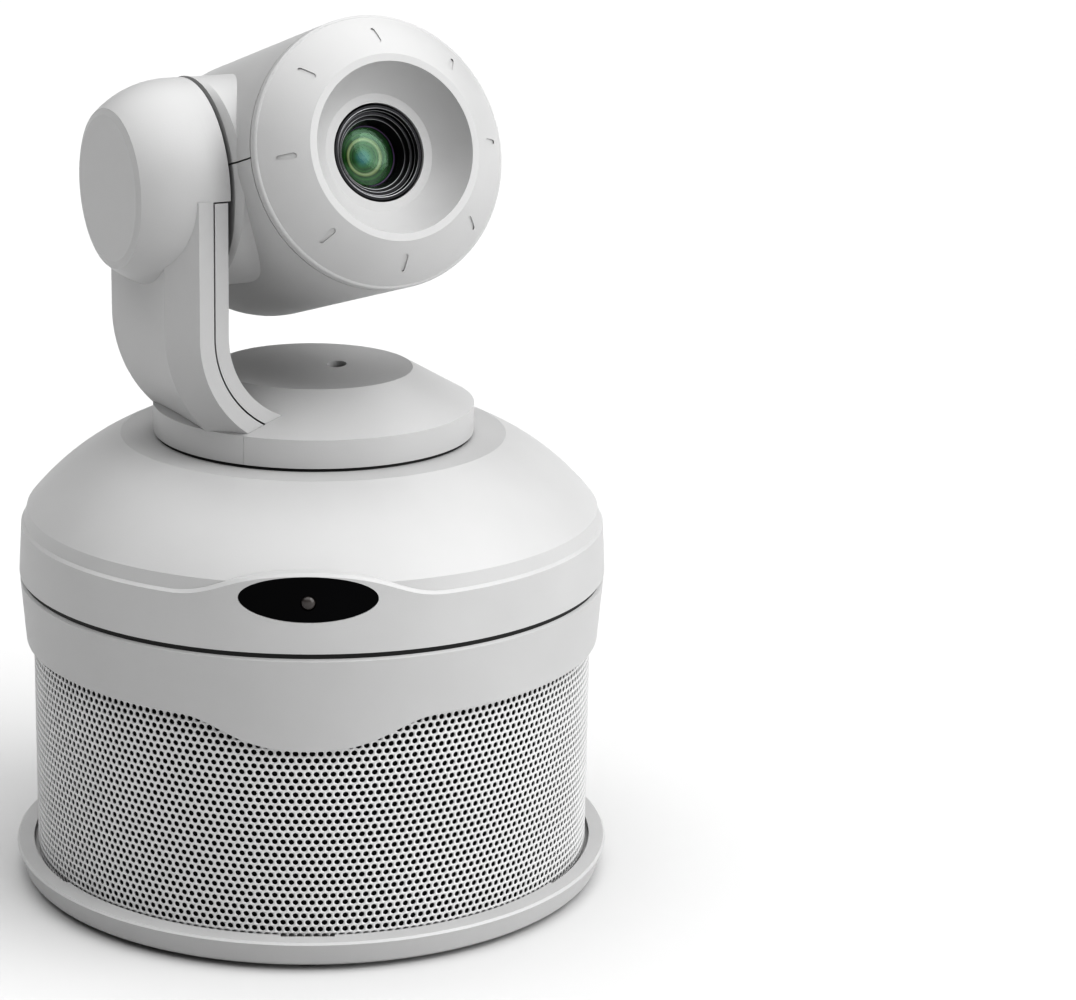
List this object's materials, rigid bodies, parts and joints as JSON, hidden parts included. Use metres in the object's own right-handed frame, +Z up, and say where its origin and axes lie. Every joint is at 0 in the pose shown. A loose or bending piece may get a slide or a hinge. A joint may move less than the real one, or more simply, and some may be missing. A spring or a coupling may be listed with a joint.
{
  "type": "ptz camera",
  "caption": "Pan and tilt video camera: a cylindrical head on a side arm and turntable, over a domed round base with a perforated speaker grille.",
  "frame": {"origin": "centre of the round base's footprint, on the surface that the feet stand on", "axes": "+Z up along the pan axis; -Y is the front of the base, with the infrared window; the arm stands towards -X when the camera looks to the front"},
  "size_m": [0.2, 0.2, 0.2915],
  "materials": {
    "cover_plastic": "light grey moulded ABS, fine matt texture",
    "grille_paint": "light grey powder coat on perforated steel",
    "foot_rubber": "matt",
    "insert_brass": "turned",
    "screw_steel": "black oxide",
    "plate_steel": "zinc plated sheet",
    "box_plastic": "black moulded ABS",
    "scrim_cloth": "black woven acoustic cloth",
    "driver_steel": "black",
    "surround_rubber": "satin",
    "cone_paper": "pressed paper pulp",
    "board_laminate": "green circuit board",
    "window_plastic": "gloss black infrared-passing acrylic",
    "drive_plastic": "white acetal",
    "cast_aluminium": "die cast",
    "motor_steel": "satin black",
    "bearing_steel": "ground",
    "barrel_black": "black anodised, stepped",
    "lens_glass": "multi-coated, green reflections"
  },
  "bodies": {
    "base": {"base_flange": "cover_plastic", "rubber_feet": "foot_rubber", "tripod_insert": "insert_brass", "base_screws": "screw_steel", "ballast_plate": "plate_steel", "speaker_box": "box_plastic", "acoustic_cloth": "scrim_cloth", "speaker_grille": "grille_paint", "speaker_frames": "driver_steel", "speaker_magnets": "driver_steel", "speaker_surrounds": "surround_rubber", "collar_ring": "cover_plastic", "chassis_plate": "plate_steel", "cover_gasket": "surround_rubber", "rear_panel": "box_plastic", "usb_port": "box_plastic", "network_ports": "box_plastic", "power_inlet": "box_plastic", "port_board": "board_laminate", "amplifier_board": "board_laminate", "top_cover": "cover_plastic", "ir_window": "window_plastic", "ir_receiver": "window_plastic", "receiver_board": "board_laminate", "bearing_housing": "cast_aluminium", "pan_bushes": "drive_plastic", "pan_motor": "motor_steel", "pan_belt": "surround_rubber", "main_board": "board_laminate"},
    "turntable": {"pan_shaft": "cast_aluminium", "pan_wheel": "drive_plastic", "turntable_plate": "plate_steel", "turntable_screws": "screw_steel", "pan_disc": "cover_plastic", "arm_outer_shell": "cover_plastic", "arm_inner_cover": "cover_plastic", "arm_frame": "plate_steel", "tilt_bearing": "bearing_steel", "tilt_motor_plate": "plate_steel", "tilt_motor": "motor_steel", "tilt_belt": "surround_rubber", "boss_cap": "cover_plastic"},
    "camera_head": {"head_upper_shell": "cover_plastic", "head_lower_shell": "cover_plastic", "head_screws": "screw_steel", "front_bezel": "cover_plastic", "lens_barrel": "barrel_black", "front_glass": "lens_glass", "camera_block": "cast_aluminium", "sensor_board": "board_laminate", "head_frame": "plate_steel", "tilt_hub": "cast_aluminium", "tilt_wheel": "drive_plastic"},
    "pan_motor_wheel": {"pan_pinion": "drive_plastic"},
    "tilt_motor_wheel": {"tilt_pinion": "drive_plastic"},
    "zoom_lens": {"zoom_group": "barrel_black"},
    "focus_lens": {"focus_group": "barrel_black"},
    "left_speaker_cone": {"left_cone": "cone_paper"},
    "right_speaker_cone": {"right_cone": "cone_paper"},
    "button": {"reset_button": "box_plastic"}
  },
  "joints": [
    {"name": "pan", "type": "hinge", "parent": "base", "child": "turntable", "pos_m": [0, 0, 0.15], "axis": [0, 0, 1], "range_deg": [-182, 128]},
    {"name": "tilt", "type": "hinge", "parent": "turntable", "child": "camera_head", "pos_m": [0, 0, 0.2365], "axis": [-0.891, -0.454, 0], "range_deg": [-47, 13]},
    {"name": "pan_motor_spin", "type": "hinge", "parent": "base", "child": "pan_motor_wheel", "pos_m": [0.058, 0, 0.135], "axis": [0, 0, 1], "range_deg": [-683, 481]},
    {"name": "tilt_motor_spin", "type": "hinge", "parent": "turntable", "child": "tilt_motor_wheel", "pos_m": [-0.05257, -0.02679, 0.2215], "axis": [-0.891, -0.454, 0], "range_deg": [-112, 31]},
    {"name": "zoom_slide", "type": "slide", "parent": "camera_head", "child": "zoom_lens", "axis": [0.4342, -0.8521, 0.2924], "range_m": [-0.007, 0.004]},
    {"name": "focus_slide", "type": "slide", "parent": "camera_head", "child": "focus_lens", "axis": [0.4342, -0.8521, 0.2924], "range_m": [-0.0025, 0.0015]},
    {"name": "left_cone_slide", "type": "slide", "parent": "base", "child": "left_speaker_cone", "axis": [-1, 0, 0], "range_m": [-0.001, 0.001], "stiffness_N_per_m": 2000},
    {"name": "right_cone_slide", "type": "slide", "parent": "base", "child": "right_speaker_cone", "axis": [1, 0, 0], "range_m": [-0.001, 0.001], "stiffness_N_per_m": 2000},
    {"name": "reset_press", "type": "slide", "parent": "base", "child": "button", "axis": [0, -1, 0], "range_m": [0, 0.0008], "stiffness_N_per_m": 400}
  ],
  "couplings": [
    {"joint": "pan_motor_spin", "follows": "pan", "ratio": 3.75},
    {"joint": "tilt_motor_spin", "follows": "tilt", "ratio": 2.375}
  ]
}
